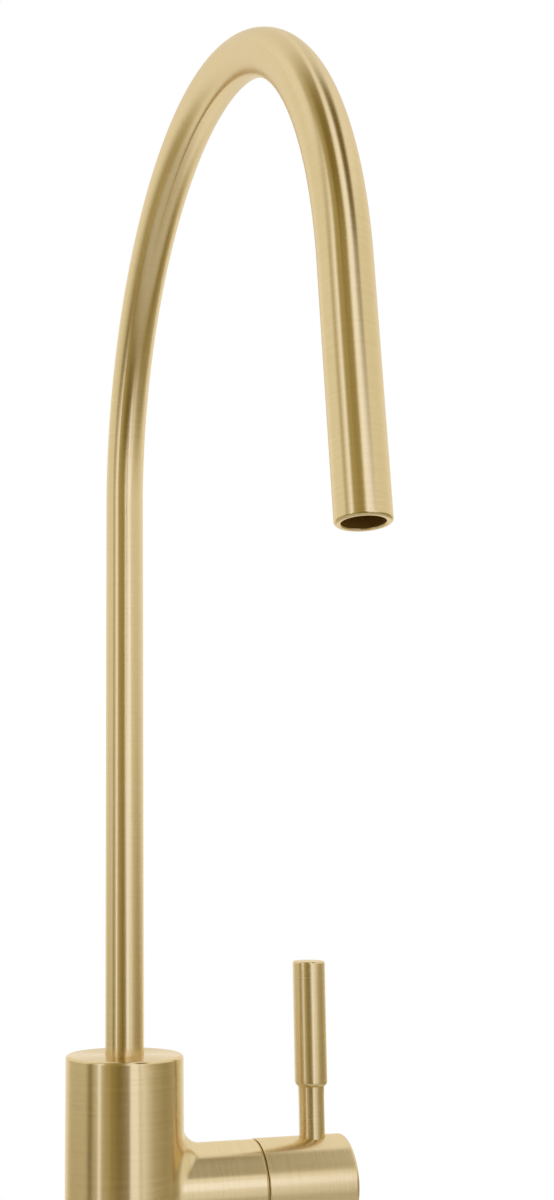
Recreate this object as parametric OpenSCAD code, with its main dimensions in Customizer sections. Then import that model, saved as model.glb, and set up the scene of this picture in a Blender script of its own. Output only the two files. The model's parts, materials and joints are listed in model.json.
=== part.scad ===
// Drinking water filter tap: a swivel gooseneck spout, a round body with a side valve
// branch, a quarter-turn pin lever and the fixing kit below the worktop.
// Frame: the origin is where the body axis meets the worktop, +Z is up, the spout
// reaches out along -Y and the valve branch points along +X. Millimetres.

/* [Body] */
// Diameter of the body
body_d = 31.4; // [28:0.1:38]
// Height of the body top above the worktop
body_top_z = 73; // [70:1:95]
// Rounding of the body top edge
body_edge_r = 0.8; // [0.3:0.1:2]
// Depth of the valve branch axis below the body top
branch_drop = 35; // [33:0.5:37]
// Diameter of the valve branch
branch_d = 22.8; // [22.5:0.1:26]
// Body axis to the end face of the branch
branch_reach = 36; // [35:0.5:46]
// Blend radius where the branch leaves the body
branch_blend_r = 5.3; // [2.5:0.1:6]
// Rounding of the branch's end, at the seam
branch_edge_r = 0.3; // [0.2:0.1:1]
// Diameter of the inlet waterway in the body
waterway_d = 6; // [4:0.5:7]

/* [Spout] */
// Outside diameter of the spout tube
tube_d = 10.3; // [9:0.1:11]
// Wall of the spout tube
tube_wall = 1.25; // [0.8:0.05:1.5]
// Straight rise of the tube above the body top
spout_rise = 149; // [100:0.5:200]
// Radius of the arch, on the tube's centre line
arch_r = 82.5; // [50:0.5:110]
// Sweep of the arch in degrees
arch_sweep = 174; // [150:1:180]
// Straight length after the arch
outlet_len = 49.5; // [20:0.5:80]
// Rounding of the outlet rim
rim_r = 0.35; // [0.1:0.05:0.4]
// Depth of the tube inside the body
tube_insert = 8; // [6:0.5:9]
// Bore of the turned spigot at the foot of the tube
spigot_bore_d = 4.8; // [3.5:0.1:5]
// Length of the spigot's tenon, brazed into the tube
tenon_len = 7; // [5:0.5:12]
// Thickness of the spout's O-rings
spout_ring_t = 1.5; // [1.2:0.1:1.8]
// Spacing of the two O-rings from the retaining groove
spout_ring_pitch = 3.7; // [3.5:0.1:4]
// Width of the retaining groove
retain_groove_w = 3.2; // [2.8:0.1:3.4]
// Depth of the retaining groove
retain_groove_depth = 1.4; // [0.8:0.1:1.6]

/* [Valve cartridge] */
// Body axis to the valve seat
seat_x = 6; // [5:0.25:7]
// Bore of the valve chamber
chamber_d = 17; // [16.5:0.25:17.5]
// Diameter of the cartridge thread
cartridge_thread_d = 18; // [17.75:0.25:19]
// Length of the cartridge thread
cartridge_thread_len = 12; // [8:0.5:13]
// Diameter of the ceramic discs
disc_d = 13; // [12.5:0.1:13.2]
// Thickness of each ceramic disc
disc_t = 3; // [2:0.1:3.5]
// Width of the disc ports in degrees
port_angle = 62; // [40:1:80]
// Wall of the cartridge skirt
skirt_wall = 0.8; // [0.5:0.05:0.9]
// Thickness of the seat seal
seat_seal_t = 2; // [1.5:0.1:2.5]
// Thickness of the spindle's disc driver
driver_t = 3; // [2:0.1:4]
// Width of the driver's two stop wings in degrees
wing_angle = 30; // [20:1:40]
// Quarter turn of the lever in degrees
lever_swing = 90; // [60:1:90]
// Thickness of the thrust washer
thrust_t = 0.8; // [0.5:0.1:1.2]
// Diameter of the spindle
spindle_d = 8; // [7:0.1:8.5]
// Number of serrations on the spindle
spline_count = 20; // [16:2:24]
// Depth of the serrations
spline_depth = 0.4; // [0.2:0.05:0.5]
// Width of the cartridge's hexagon across flats
hex_af = 16.5; // [15.5:0.1:16.6]
// Height of the cartridge's hexagon
hex_h = 4; // [3:0.25:5]
// Thickness of the spindle's circlip
circlip_t = 0.8; // [0.6:0.1:1]

/* [Handle] */
// Seam between the branch and the handle hub
seam_gap = 0.5; // [0.4:0.05:0.8]
// Length of the handle hub
hub_len = 25.3; // [24:0.1:34]
// Height of the hub's surface above the branch's
hub_proud = 0.2; // [0.15:0.05:0.6]
// Wall of the hub round the cartridge
hub_wall = 1.7; // [1.4:0.1:1.8]
// Rounding of the hub's outer edge
hub_edge_r = 1; // [0.4:0.1:1.4]
// Rounding of the hub's rim, at the seam
hub_rim_r = 0.3; // [0.2:0.1:0.6]
// Outer end of the hub to the lever axis
lever_inset = 9.1; // [6:0.1:9.2]
// Diameter of the lever's stem
stem_d = 7; // [6:0.1:8]
// Length of the stem above the hub
stem_len = 13.1; // [8:0.1:25]
// Diameter of the lever's grip
grip_d = 8.9; // [8:0.1:11]
// Length of the grip
grip_len = 33.4; // [20:0.1:50]
// Rounding of the grip's top edge
grip_edge_r = 0.6; // [0.2:0.1:1]
// Depth of the stem's seat in the hub
stem_seat = 1.2; // [1:0.1:2]
// Diameter of the lever's thread
lever_thread_d = 5; // [4:0.5:5.5]
// Length of the lever's thread
lever_thread_len = 7; // [5:0.5:7.5]
// Thickness of the glide ring in the seam
glide_t = 0.35; // [0.2:0.05:0.38]

/* [Set screws] */
// Diameter of the spout and handle set screws
set_screw_d = 4; // [3:0.5:4]
// Depth of the spout screw's head below the body surface
spout_screw_recess = 1.5; // [0.5:0.1:3]
// Length of the spout screw's dog point
dog_len = 1.8; // [1.6:0.1:3]
// Diameter of the spout screw's dog point
dog_d = 2.5; // [1.8:0.1:2.5]
// Length of the handle screw
handle_screw_len = 6; // [4:0.25:7]

/* [Base] */
// Diameter of the base flange
flange_d = 42; // [40:0.5:60]
// Thickness of the base flange
flange_t = 4.2; // [3:0.1:6]
// Rounding of the flange's top edge
flange_edge_r = 1.4; // [0.4:0.1:2]
// Outside diameter of the base gasket
gasket_d = 37; // [30:0.5:38]
// Inside diameter of the base gasket
gasket_bore_d = 22; // [16:0.5:26]
// Thickness of the base gasket
gasket_t = 2; // [1.4:0.1:2.6]
// Height of the gasket left proud of the flange
gasket_proud = 0.8; // [0.3:0.1:1]

/* [Shank and fixing kit] */
// Diameter of the shank's thread
shank_d = 12; // [11:0.25:12.5]
// Bore of the shank
shank_bore_d = 6.5; // [5:0.25:7]
// Length of the shank below the worktop
shank_below = 55; // [50:1:90]
// Length of the shank screwed into the body
shank_engage = 14.5; // [10:0.5:15]
// Thickness of the seal above the shank
shank_seal_t = 1.5; // [1:0.1:2]
// Worktop thickness that the kit is set to
worktop_t = 20; // [5:0.5:24]
// Diameter of the clamp washers
washer_d = 30; // [24:0.5:36]
// Thickness of the rubber clamp washer
rubber_t = 2.5; // [1.5:0.1:4]
// Thickness of the steel clamp washer
steel_t = 1.5; // [1:0.1:2.5]
// Width of the lock nut across flats
nut_af = 19; // [18:0.5:22]
// Height of the lock nut
nut_h = 8; // [5:0.5:10]
// Diameter of the lock nut's flange
nut_flange_d = 24; // [22:0.5:26]
// Thickness of the lock nut's flange
nut_flange_t = 1.6; // [1:0.1:3]

/* [Inlet connector] */
// Outside diameter of the supply tube that it takes
supply_tube_d = 6.35; // [6:0.05:6.4]
// Clearance of the supply tube in its socket, on the radius
supply_gap = 0.025; // [0.015:0.005:0.04]
// Width of the connector's hexagon across flats
connector_af = 19; // [18:0.5:22]
// Height of the connector's hexagon
connector_hex_h = 12; // [11.5:0.5:16]
// Diameter of the connector's barrel
barrel_d = 15.5; // [14.5:0.25:17]
// Length of thread on the shank
connector_engage = 9; // [6:0.5:9]
// Thickness of the connector's flat seal
connector_seal_t = 1.5; // [1:0.1:2]
// Depth of the supply tube's socket
socket_len = 7; // [5:0.5:10]
// Thickness of the supply tube's O-ring
supply_ring_t = 2; // [1.6:0.1:2]
// Travel of the release collet
collet_travel = 1.5; // [1:0.1:2]
// Thickness of the collet's flange
collet_flange_t = 1.5; // [1:0.1:2.5]
// Diameter of the collet's flange
collet_flange_d = 12.6; // [12:0.1:14]
// Number of slots between the collet's fingers
collet_slots = 4; // [3:1:6]
// Width of those slots
collet_slot_w = 0.8; // [0.5:0.1:1]

/* [Clearances] */
// Running fit on the radius, for parts that turn or slide in each other
run_gap = 0.05; // [0.02:0.01:0.08]
// Clearance between pieces of one assembly that are screwed or seated together
seat_gap = 0.05; // [0.02:0.01:0.08]
// Loose clearance on the radius, for washers and hidden cavities
loose_gap = 0.3; // [0.2:0.05:0.4]

/* [Hidden] */
$fn = 96;
eps = 0.02;

// Finishes
gold = "#c8a96b";
raw_brass = "#b59a55";
steel = "#b9bcc0";
black_rubber = "#2b2b2c";
acetal_white = "#e8e6e0";
acetal_grey = "#8d9196";
ceramic_white = "#f1eee6";

// Heights
flange_z = gasket_proud;
body_z = flange_z + flange_t;
branch_z = body_top_z - branch_drop;
branch_r = branch_d / 2;
shank_top_z = body_z + shank_engage;
shank_end_z = -shank_below;
socket_top_z = shank_top_z + shank_seal_t;

// Spout in the body
chamber_wall = 5.5;
sump_depth = 4;
spout_bore_z = branch_z + chamber_d / 2 + chamber_wall;
spout_bore_d = tube_d + 2 * run_gap;
spigot_z = spout_bore_z + 2 * seat_gap;
tube_foot_z = body_top_z - tube_insert;
retain_z = (spigot_z + tube_foot_z) / 2;
tube_bore_d = tube_d - 2 * tube_wall;
groove_play = 0.4;
outlet_sizing = 0.02;
outlet_lap = 0.3;

// Valve, measured along the branch axis
fixed_x = seat_x + seat_seal_t;
moving_x = fixed_x + disc_t + seat_gap;
driver_x = moving_x + disc_t + seat_gap;
thrust_x = driver_x + driver_t + seat_gap;
shoulder_x = thrust_x + thrust_t + seat_gap;
skirt_x = seat_x + seat_seal_t / 4;
skirt_bore_d = disc_d + 0.2;
skirt_d = skirt_bore_d + 2 * skirt_wall;
land_x = shoulder_x + 2;
thread_x = branch_reach - cartridge_thread_len;
housing_ring_t = 1.5;
housing_ring_x = (land_x + thread_x) / 2;
hex_x = branch_reach + hex_h;
circlip_x = hex_x + 2 * seat_gap;
drive_lug_w = 2;
drive_lug_h = 1.1;
key_w = 4;
spindle_ring_t = 1.2;
spindle_ring_pitch = 3;

// Handle
hub_x = branch_reach + seam_gap;
hub_end_x = hub_x + hub_len;
hub_d = branch_d + 2 * hub_proud;
lever_x = hub_end_x - lever_inset;
cavity_d = hub_d - 2 * hub_wall;
cavity_x = circlip_x + circlip_t + 0.9;
lever_hole_d = lever_thread_d + 2 * seat_gap;
spline_wall = 2;
spline_relief = 0.15;
spline_r = spindle_d / 2 - spline_relief;
spline_end_x = lever_x - lever_hole_d / 2 - spline_wall;
handle_screw_x = (cavity_x + spline_end_x) / 2;
handle_screw_tip = spline_r - spline_depth - 0.2;
crown_z = branch_z + hub_d / 2;
stem_foot_z = crown_z - stem_seat;
hex_socket_share = 0.5;

// Fixing kit
rubber_z = -worktop_t - rubber_t;
steel_z = rubber_z - steel_t;
nut_z = steel_z - nut_h;

// Inlet connector
connector_top_z = shank_end_z + connector_engage;
connector_seal_z = shank_end_z - connector_seal_t;
tube_stop_len = 2.5;
socket_z = connector_seal_z - tube_stop_len;
ring_z = socket_z - socket_len;
supply_socket_d = supply_tube_d + 2 * supply_gap;
supply_ring_d = supply_socket_d + 2 * seat_gap;
ring_room_d = supply_ring_d + 2 * supply_ring_t + 2 * seat_gap;
ring_room_z = ring_z - supply_ring_t - 0.4;
barb_h = 1.3;
barb_room_z = ring_room_z - barb_h - collet_travel - 0.3;
mouth_len = 2.5;
connector_end_z = barb_room_z - mouth_len;
collet_bore_d = supply_socket_d + 2 * run_gap;
collet_wall = 1.65;
collet_d = collet_bore_d + 2 * collet_wall;
collet_gap = 0.2;
barb_d = collet_d + 0.8;
barb_z = barb_room_z + 0.1;
collet_flange_z = connector_end_z - collet_travel - collet_gap - collet_flange_t;

// Solid of revolution with rounded ends, standing on z = 0
module rod(d, h, top_r = 0, foot_r = 0) {
    rotate_extrude()
        difference() {
            square([d / 2, h]);
            if (top_r > 0)
                translate([d / 2 - top_r, h - top_r])
                    difference() {
                        square(top_r + eps);
                        circle(top_r);
                    }
            if (foot_r > 0)
                translate([d / 2 - foot_r, foot_r])
                    difference() {
                        translate([0, -foot_r - eps])
                            square(foot_r + eps);
                        circle(foot_r);
                    }
        }
}

// Flat ring standing on z = 0
module ring(od, id, h) {
    difference() {
        cylinder(d = od, h = h);
        translate([0, 0, -eps])
            cylinder(d = id, h = h + 2 * eps);
    }
}

// O-ring with its middle plane at z = 0
module o_ring(inner_d, t) {
    rotate_extrude()
        translate([inner_d / 2 + t / 2, 0])
            circle(d = t);
}

// Part of a ring between two radii, from one angle to another
module sector(r_in, r_out, from, sweep, h) {
    rotate([0, 0, from])
        rotate_extrude(angle = sweep)
            translate([r_in, 0])
                square([r_out - r_in, h]);
}

// Hexagonal prism by its width across flats
module hexagon(af, h) {
    cylinder(d = af / cos(30), h = h, $fn = 6);
}

// Places children on the branch axis, x along it, with their z axis along +X
module on_branch(x) {
    translate([x, 0, branch_z])
        rotate([0, 90, 0])
            children();
}

// Rolling-ball blend between the body and the branch: one section for each angle round
// the branch, with its arc's ends sunk just under both surfaces
blend_steps = 64;
blend_arc_steps = 8;
blend_sink = 0.12;
blend_core = 0.7;

function blend_centre(a) =
    let (y = (branch_r + branch_blend_r) * sin(a))
    let (z = (branch_r + branch_blend_r) * cos(a))
    [sqrt(pow(body_d / 2 + branch_blend_r, 2) - y * y), y, z];

function blend_on_branch(a, r) =
    [blend_centre(a)[0], r * sin(a), r * cos(a)];

function blend_on_body(a, r) =
    let (c = blend_centre(a))
    let (k = r / (body_d / 2 + branch_blend_r))
    [c[0] * k, c[1] * k, c[2]];

function blend_arc(a, t) =
    let (c = blend_centre(a))
    let (u = (blend_on_branch(a, branch_r) - c) / branch_blend_r)
    let (v = (blend_on_body(a, body_d / 2) - c) / branch_blend_r)
    let (w = acos(u * v))
    c + branch_blend_r * (sin((1 - t) * w) * u + sin(t * w) * v) / sin(w);

function blend_corner(a) =
    let (y = (branch_r - blend_core) * sin(a))
    let (z = (branch_r - blend_core) * cos(a))
    [sqrt(pow(body_d / 2 - blend_core, 2) - y * y), y, z];

function blend_section(a) = concat(
    [blend_on_branch(a, branch_r - blend_sink)],
    [for (i = [1 : blend_arc_steps - 1]) blend_arc(a, i / blend_arc_steps)],
    [blend_on_body(a, body_d / 2 - blend_sink)],
    [blend_corner(a)]);

module branch_blend() {
    n = blend_arc_steps + 2;
    points = [for (i = [0 : blend_steps - 1]) each blend_section(i * 360 / blend_steps)];
    function at(i, j) = (i % blend_steps) * n + (j % n);
    faces = [for (i = [0 : blend_steps - 1], j = [0 : n - 1], half = [0, 1])
        half == 0 ? [at(i, j), at(i, j + 1), at(i + 1, j + 1)]
                  : [at(i, j), at(i + 1, j + 1), at(i + 1, j)]];
    translate([0, 0, branch_z])
        polyhedron(points, faces);
}

// Body with its branch, cut for the spout, the cartridge, the waterways and the shank
module body() {
    riser_d = 4;
    riser_from = spout_bore_z - sump_depth / 2;
    riser_to = branch_z + chamber_d / 2 - 1.3;
    riser_x = seat_x + 6;
    riser_len = norm([riser_x, riser_to - riser_from]);
    color(gold)
        difference() {
            union() {
                translate([0, 0, body_z])
                    rod(body_d, body_top_z - body_z, top_r = body_edge_r);
                on_branch(0)
                    rod(branch_d, branch_reach, top_r = branch_edge_r);
                branch_blend();
            }
            translate([0, 0, spout_bore_z])
                cylinder(d = spout_bore_d, h = body_top_z - spout_bore_z + eps);
            translate([0, 0, spout_bore_z - sump_depth])
                cylinder(d = spigot_bore_d, h = sump_depth + eps);
            translate([0, 0, riser_from])
                rotate([0, atan2(riser_x, riser_to - riser_from), 0])
                    cylinder(d = riser_d, h = riser_len);
            on_branch(seat_x)
                cylinder(d = chamber_d, h = branch_reach - seat_x);
            on_branch(thread_x - loose_gap)
                cylinder(d = cartridge_thread_d, h = cartridge_thread_len + loose_gap + eps);
            on_branch(0)
                cylinder(d = waterway_d, h = seat_x + eps);
            translate([0, 0, socket_top_z - eps])
                cylinder(d = waterway_d, h = branch_z - socket_top_z + eps);
            translate([0, 0, body_z - eps])
                cylinder(d = shank_d + 2 * seat_gap, h = socket_top_z - body_z + eps);
            translate([0, 0, retain_z])
                rotate([-90, 0, 0])
                    cylinder(d = set_screw_d + 2 * seat_gap, h = body_d / 2 + 1);
        }
}

// Base flange, recessed below for the gasket
module base_flange() {
    recess = gasket_t - gasket_proud;
    color(gold)
        translate([0, 0, flange_z])
            difference() {
                rod(flange_d, flange_t, top_r = flange_edge_r);
                translate([0, 0, -eps])
                    cylinder(d = gasket_d + 2 * loose_gap, h = recess + eps);
                cylinder(d = shank_d + 2 * loose_gap, h = flange_t + eps);
            }
}

module base_gasket() {
    color(black_rubber)
        ring(gasket_d, gasket_bore_d, gasket_t);
}

// Threaded tube that fixes the body and brings the water in
module shank() {
    color(raw_brass)
        translate([0, 0, shank_end_z])
            ring(shank_d, shank_bore_d, shank_top_z - shank_end_z);
}

module shank_seal() {
    color(black_rubber)
        translate([0, 0, shank_top_z])
            ring(shank_d - loose_gap, shank_bore_d, shank_seal_t);
}

// Rise and arch of the spout as a solid of one diameter
module rise_and_arch(d) {
    translate([0, 0, tube_foot_z])
        cylinder(d = d, h = body_top_z + spout_rise - tube_foot_z);
    translate([0, -arch_r, body_top_z + spout_rise])
        rotate([90, 0, 90])
            rotate_extrude(angle = arch_sweep)
                translate([arch_r, 0])
                    circle(d = d);
}

// Places children at the end of the arch, with their z axis along the outlet
module at_outlet() {
    translate([0, -arch_r, body_top_z + spout_rise])
        rotate([arch_sweep, 0, 0])
            translate([0, arch_r, 0])
                children();
}

// Gooseneck tube: the outlet end is sized after bending, and its rim is rounded
module spout_tube() {
    outlet_bore_d = tube_bore_d - 2 * outlet_sizing;
    color(gold)
        difference() {
            union() {
                rise_and_arch(tube_d);
                at_outlet()
                    translate([0, 0, -outlet_lap])
                        rod(tube_d + 2 * outlet_sizing, outlet_len + outlet_lap, top_r = rim_r);
            }
            rise_and_arch(tube_bore_d);
            at_outlet()
                translate([0, 0, -outlet_lap])
                    cylinder(d = outlet_bore_d, h = outlet_lap + outlet_len + eps);
            at_outlet()
                rotate_extrude()
                    translate([outlet_bore_d / 2, outlet_len - rim_r])
                        difference() {
                            translate([-rim_r, 0])
                                square([2 * rim_r, rim_r + eps]);
                            translate([rim_r, 0])
                                circle(rim_r);
                        }
        }
}

// Turned spigot brazed into the tube, with two O-ring grooves and a retaining groove
module spout_spigot() {
    ring_floor_d = spout_bore_d - 2 * spout_ring_t - 2 * run_gap;
    ring_groove_h = spout_ring_t + groove_play;
    color(raw_brass)
        difference() {
            union() {
                translate([0, 0, spigot_z])
                    cylinder(d = tube_d, h = tube_foot_z - spigot_z);
                translate([0, 0, tube_foot_z - eps])
                    cylinder(d = tube_bore_d - 2 * seat_gap, h = tenon_len + eps);
            }
            translate([0, 0, spigot_z - eps])
                cylinder(d = spigot_bore_d, h = tube_foot_z + tenon_len - spigot_z + 2 * eps);
            for (side = [-1, 1])
                translate([0, 0, retain_z + side * spout_ring_pitch - ring_groove_h / 2])
                    ring(tube_d + 1, ring_floor_d - 2 * run_gap, ring_groove_h);
            translate([0, 0, retain_z - retain_groove_w / 2])
                ring(tube_d + 1, tube_d - 2 * retain_groove_depth, retain_groove_w);
        }
}

module spout_o_rings() {
    ring_floor_d = spout_bore_d - 2 * spout_ring_t - 2 * run_gap;
    color(black_rubber)
        for (side = [-1, 1])
            translate([0, 0, retain_z + side * spout_ring_pitch])
                o_ring(ring_floor_d, spout_ring_t);
}

// Socket set screw along +Z with its tip at z = 0
module set_screw(len, tip_d, tip_len) {
    difference() {
        union() {
            cylinder(d = tip_d, h = tip_len + eps);
            translate([0, 0, tip_len])
                cylinder(d = set_screw_d, h = len - tip_len);
        }
        translate([0, 0, len - set_screw_d / 2])
            hexagon(set_screw_d * hex_socket_share, set_screw_d / 2 + eps);
    }
}

// Dog point screw at the back of the body, which rides in the spigot's groove
module spout_screw() {
    tip_r = tube_d / 2 - retain_groove_depth + 3 * seat_gap;
    color(raw_brass)
        translate([0, tip_r, retain_z])
            rotate([-90, 0, 0])
                set_screw(body_d / 2 - spout_screw_recess - tip_r, dog_d, dog_len);
}

// Cartridge shell: skirt round the discs, O-ring land, thread and hexagon
module cartridge_housing() {
    land_d = chamber_d - 4 * run_gap;
    ring_floor_d = chamber_d - 2 * housing_ring_t - 2 * run_gap;
    ring_groove_h = housing_ring_t + groove_play;
    window_angle = wing_angle + lever_swing + 2;
    color(raw_brass)
        difference() {
            union() {
                on_branch(skirt_x)
                    cylinder(d = skirt_d, h = land_x - skirt_x + eps);
                on_branch(land_x)
                    cylinder(d = land_d, h = thread_x - land_x + eps);
                on_branch(thread_x)
                    cylinder(d = cartridge_thread_d - 2 * seat_gap, h = cartridge_thread_len);
                on_branch(branch_reach)
                    hexagon(hex_af, hex_h);
            }
            on_branch(skirt_x - eps)
                cylinder(d = skirt_bore_d, h = shoulder_x - skirt_x + eps);
            on_branch(shoulder_x - eps)
                cylinder(d = spindle_d + 2 * run_gap, h = hex_x - shoulder_x + 2 * eps);
            on_branch(housing_ring_x - ring_groove_h / 2)
                ring(chamber_d, ring_floor_d - 2 * run_gap, ring_groove_h);
            on_branch(driver_x - loose_gap)
                for (side = [0, 180])
                    sector(skirt_bore_d / 2 - 1, skirt_d / 2 + 1, side - wing_angle / 2 - 1,
                        window_angle, driver_t + loose_gap);
            on_branch(skirt_x - eps)
                translate([-skirt_d, -key_w / 2 - run_gap, 0])
                    cube([2 * skirt_d, key_w + 2 * run_gap, fixed_x + disc_t - skirt_x + eps]);
        }
}

module housing_o_ring() {
    color(black_rubber)
        on_branch(housing_ring_x)
            o_ring(chamber_d - 2 * housing_ring_t - 2 * run_gap, housing_ring_t);
}

module seat_seal() {
    color(black_rubber)
        on_branch(seat_x)
            ring(disc_d, disc_d - 2 * seat_seal_t, seat_seal_t);
}

// Two opposite sector ports, centred on an angle round the branch axis
module ports(centre, h) {
    for (side = [0, 180])
        sector(disc_d * 0.13, disc_d * 0.36, side + centre - port_angle / 2, port_angle, h);
}

// Lower ceramic disc, keyed to the housing
module fixed_disc() {
    color(ceramic_white)
        on_branch(fixed_x)
            difference() {
                union() {
                    cylinder(d = disc_d, h = disc_t);
                    intersection() {
                        cylinder(d = skirt_d, h = disc_t);
                        translate([-skirt_d / 2, -key_w / 2, 0])
                            cube([skirt_d, key_w, disc_t]);
                    }
                }
                translate([0, 0, -eps])
                    ports(90, disc_t + 2 * eps);
            }
}

// Upper ceramic disc, slotted across its back for the driver
module moving_disc() {
    slot_h = drive_lug_h + 2 * seat_gap;
    color(ceramic_white)
        on_branch(moving_x)
            difference() {
                cylinder(d = disc_d, h = disc_t);
                translate([0, 0, -eps])
                    ports(0, disc_t + 2 * eps);
                translate([-drive_lug_w / 2 - run_gap, -disc_d, disc_t - slot_h])
                    cube([drive_lug_w + 2 * run_gap, 2 * disc_d, slot_h + eps]);
            }
}

module thrust_washer() {
    color(acetal_white)
        on_branch(thrust_x)
            ring(disc_d, spindle_d + 2 * run_gap, thrust_t);
}

// Serrated outline of the spindle's end
module spline_outline(r) {
    polygon([for (i = [0 : 2 * spline_count - 1])
        (i % 2 == 0 ? r : r - spline_depth)
            * [cos(i * 180 / spline_count), sin(i * 180 / spline_count)]]);
}

// Spindle: driver with two stop wings, sealed shaft and serrated end
module cartridge_spindle() {
    ring_floor_d = spindle_d - 2 * spindle_ring_t;
    ring_groove_h = spindle_ring_t + groove_play;
    spline_x = cavity_x - loose_gap;
    color(raw_brass)
        difference() {
            union() {
                on_branch(driver_x)
                    cylinder(d = disc_d, h = driver_t);
                on_branch(driver_x)
                    for (side = [0, 180])
                        sector(disc_d / 4, skirt_d / 2, side - wing_angle / 2, wing_angle, driver_t);
                on_branch(driver_x - drive_lug_h)
                    intersection() {
                        cylinder(d = disc_d - 2 * seat_gap, h = drive_lug_h + eps);
                        translate([-drive_lug_w / 2, -disc_d, 0])
                            cube([drive_lug_w, 2 * disc_d, drive_lug_h + eps]);
                    }
                on_branch(driver_x + driver_t - eps)
                    cylinder(d = spindle_d, h = spline_x - driver_x - driver_t + eps);
                on_branch(spline_x - eps)
                    linear_extrude(spline_end_x - spline_x - loose_gap + eps)
                        spline_outline(spline_r);
            }
            for (side = [-1, 1])
                on_branch(housing_ring_x + side * spindle_ring_pitch / 2 - ring_groove_h / 2)
                    ring(spindle_d + 1, ring_floor_d, ring_groove_h);
            on_branch(circlip_x - seat_gap)
                ring(spindle_d + 1, spindle_d - 2 * circlip_t, circlip_t + 2 * seat_gap);
            on_branch(handle_screw_x - set_screw_d / 2 - loose_gap)
                ring(spindle_d + 1, 2 * handle_screw_tip - 2 * seat_gap, set_screw_d + 2 * loose_gap);
        }
}

module spindle_o_rings() {
    color(black_rubber)
        for (side = [-1, 1])
            on_branch(housing_ring_x + side * spindle_ring_pitch / 2)
                o_ring(spindle_d - 2 * spindle_ring_t + 2 * run_gap, spindle_ring_t - run_gap);
}

// Open ring in the spindle's groove, outside the hexagon
module spindle_circlip() {
    opening = 70;
    color(steel)
        on_branch(circlip_x)
            sector(spindle_d / 2 - circlip_t + seat_gap, spindle_d / 2 + 1.4, opening / 2,
                360 - opening, circlip_t);
}

// Brass ring in the seam, on the flat of the branch's end
module glide_ring() {
    color(raw_brass)
        on_branch(branch_reach)
            ring(branch_d - 2 * branch_edge_r, hex_af / cos(30) + 2 * seat_gap, glide_t);
}

// Handle hub: a cap over the cartridge with a serrated socket and a seat for the lever
module handle_hub() {
    color(gold)
        difference() {
            on_branch(hub_x)
                rod(hub_d, hub_len, top_r = hub_edge_r, foot_r = hub_rim_r);
            on_branch(hub_x - eps)
                cylinder(d = cavity_d, h = cavity_x - hub_x + eps);
            on_branch(cavity_x - eps)
                linear_extrude(spline_end_x - cavity_x + eps)
                    spline_outline(spline_r + seat_gap);
            translate([lever_x, 0, stem_foot_z])
                cylinder(d = stem_d + 2 * seat_gap, h = stem_seat + 1);
            translate([lever_x, 0, stem_foot_z - lever_thread_len - loose_gap])
                cylinder(d = lever_hole_d, h = lever_thread_len + loose_gap + eps);
            translate([handle_screw_x, 0, branch_z])
                rotate([180, 0, 0])
                    cylinder(d = set_screw_d + 2 * seat_gap, h = hub_d / 2 + 1);
        }
}

// Set screw under the hub, tightened on the spindle
module handle_screw() {
    color(raw_brass)
        translate([handle_screw_x, 0, branch_z - handle_screw_tip])
            rotate([180, 0, 0])
                set_screw(handle_screw_len, set_screw_d - 1, 0.8);
}

// Lever: one turned piece with a thread, a slim stem and a thicker grip
module lever_pin() {
    grip_foot_r = min((grip_d - stem_d) / 2, 1);
    grip_z = crown_z + stem_len;
    color(gold)
        translate([lever_x, 0, 0])
            union() {
                translate([0, 0, stem_foot_z - lever_thread_len])
                    cylinder(d = lever_thread_d, h = lever_thread_len + eps);
                translate([0, 0, stem_foot_z])
                    cylinder(d = stem_d, h = grip_z - stem_foot_z + 1);
                translate([0, 0, grip_z])
                    rod(grip_d, grip_len, top_r = grip_edge_r, foot_r = grip_foot_r);
            }
}

module clamp_washer_rubber() {
    color(black_rubber)
        translate([0, 0, rubber_z])
            ring(washer_d, shank_d + 2 * loose_gap, rubber_t);
}

module clamp_washer_steel() {
    color(steel)
        translate([0, 0, steel_z])
            ring(washer_d, shank_d + 2 * loose_gap, steel_t);
}

// Flanged hexagon nut on the shank
module lock_nut() {
    color(raw_brass)
        translate([0, 0, nut_z])
            difference() {
                union() {
                    hexagon(nut_af, nut_h);
                    translate([0, 0, nut_h - nut_flange_t])
                        cylinder(d = nut_flange_d, h = nut_flange_t);
                }
                translate([0, 0, -eps])
                    cylinder(d = shank_d + 2 * run_gap, h = nut_h + 2 * eps);
            }
}

// Push-fit connector on the shank's end
module inlet_connector() {
    barrel_edge_r = 0.8;
    hex_z = connector_top_z - connector_hex_h;
    color(acetal_grey)
        difference() {
            union() {
                translate([0, 0, hex_z])
                    hexagon(connector_af, connector_hex_h);
                translate([0, 0, connector_end_z])
                    rod(barrel_d, hex_z - connector_end_z + eps, foot_r = barrel_edge_r);
            }
            translate([0, 0, connector_seal_z])
                cylinder(d = shank_d + 2 * seat_gap, h = connector_top_z - connector_seal_z + eps);
            translate([0, 0, socket_z - eps])
                cylinder(d = spigot_bore_d, h = tube_stop_len + 2 * eps);
            translate([0, 0, ring_z - eps])
                cylinder(d = supply_socket_d, h = socket_len + eps);
            translate([0, 0, ring_room_z - eps])
                cylinder(d = ring_room_d, h = ring_z - ring_room_z + eps);
            translate([0, 0, barb_room_z])
                cylinder(d = barb_d + 2 * collet_gap, h = ring_room_z - barb_room_z);
            translate([0, 0, connector_end_z - eps])
                cylinder(d = collet_d + 2 * collet_gap, h = mouth_len + 2 * eps);
        }
}

module connector_seal() {
    color(black_rubber)
        translate([0, 0, connector_seal_z])
            ring(shank_d - loose_gap, shank_bore_d, connector_seal_t);
}

module supply_o_ring() {
    color(black_rubber)
        translate([0, 0, (ring_z + ring_room_z) / 2])
            o_ring(supply_ring_d, supply_ring_t);
}

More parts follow.
